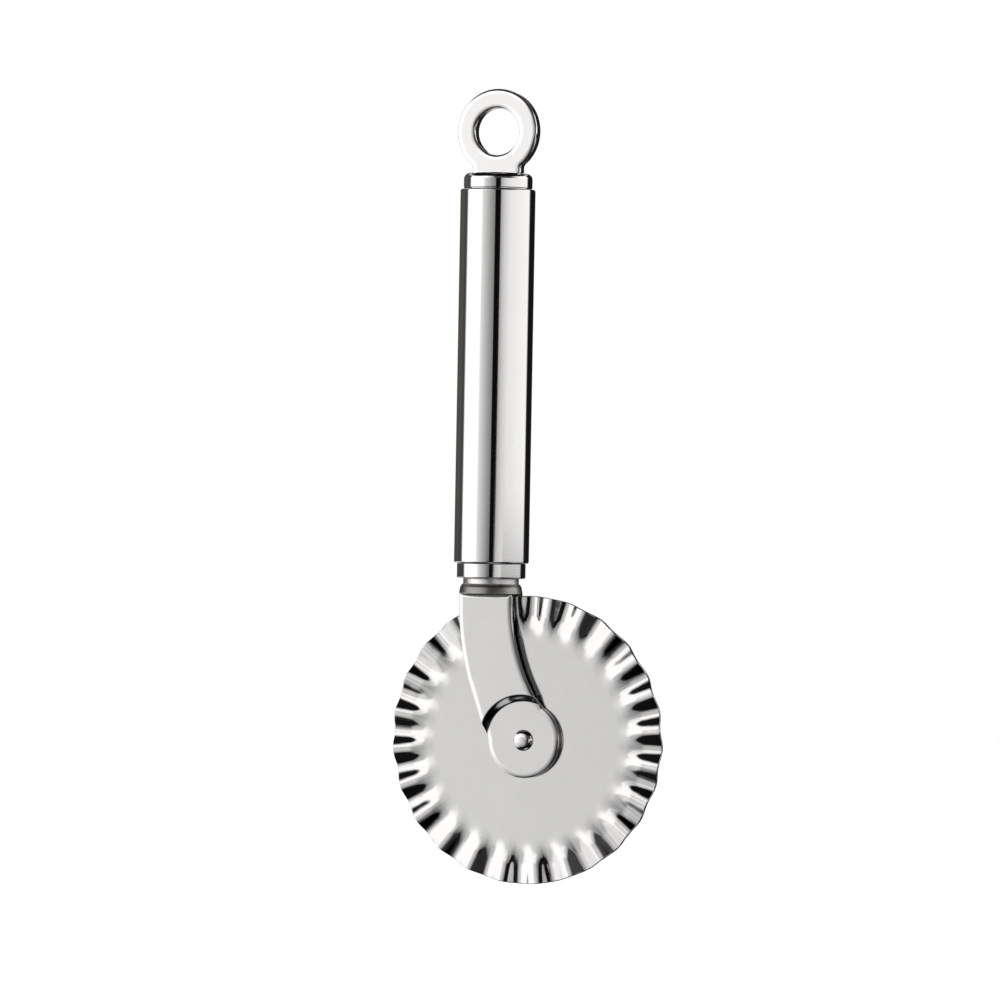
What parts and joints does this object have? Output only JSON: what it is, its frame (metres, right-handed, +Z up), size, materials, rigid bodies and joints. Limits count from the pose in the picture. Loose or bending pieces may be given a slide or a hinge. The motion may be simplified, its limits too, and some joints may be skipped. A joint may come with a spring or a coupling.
{
  "type": "pastry cutter wheel",
  "caption": "Pastry cutter: a fluted cutting wheel riveted to a cranked arm, on a round steel handle with a flat hanging eye.",
  "frame": {"origin": "centre of the hanging eye, which is what holds the tool up", "axes": "+Z up along the handle, away from the wheel; +Y along the wheel's axle from the front, where the arm is, to the rear; +X to the side that the wheel is offset to"},
  "size_m": [0.0702, 0.0184, 0.1935],
  "materials": {
    "hanging_eye": "satin stainless, polished edges",
    "top_cap": "polished stainless",
    "handle_tube": "polished stainless",
    "bottom_cap": "polished stainless",
    "ferrule": "polished stainless",
    "wheel_arm": "satin stainless, polished edges",
    "cutting_wheel": "satin stainless disc, polished flutes",
    "axle_rivet": "polished stainless",
    "front_washer": "plain stainless",
    "rear_washer": "plain stainless",
    "hub_bush": "turned stainless"
  },
  "bodies": {
    "handle": {"hanging_eye": "hanging_eye", "top_cap": "top_cap", "handle_tube": "handle_tube", "bottom_cap": "bottom_cap", "ferrule": "ferrule", "wheel_arm": "wheel_arm", "axle_rivet": "axle_rivet", "front_washer": "front_washer", "rear_washer": "rear_washer"},
    "wheel": {"cutting_wheel": "cutting_wheel", "hub_bush": "hub_bush"}
  },
  "joints": [
    {"name": "wheel_spin", "type": "hinge", "parent": "handle", "child": "wheel", "pos_m": [0.0101, 0, -0.14805], "axis": [0, 1, 0], "continuous": true}
  ]
}
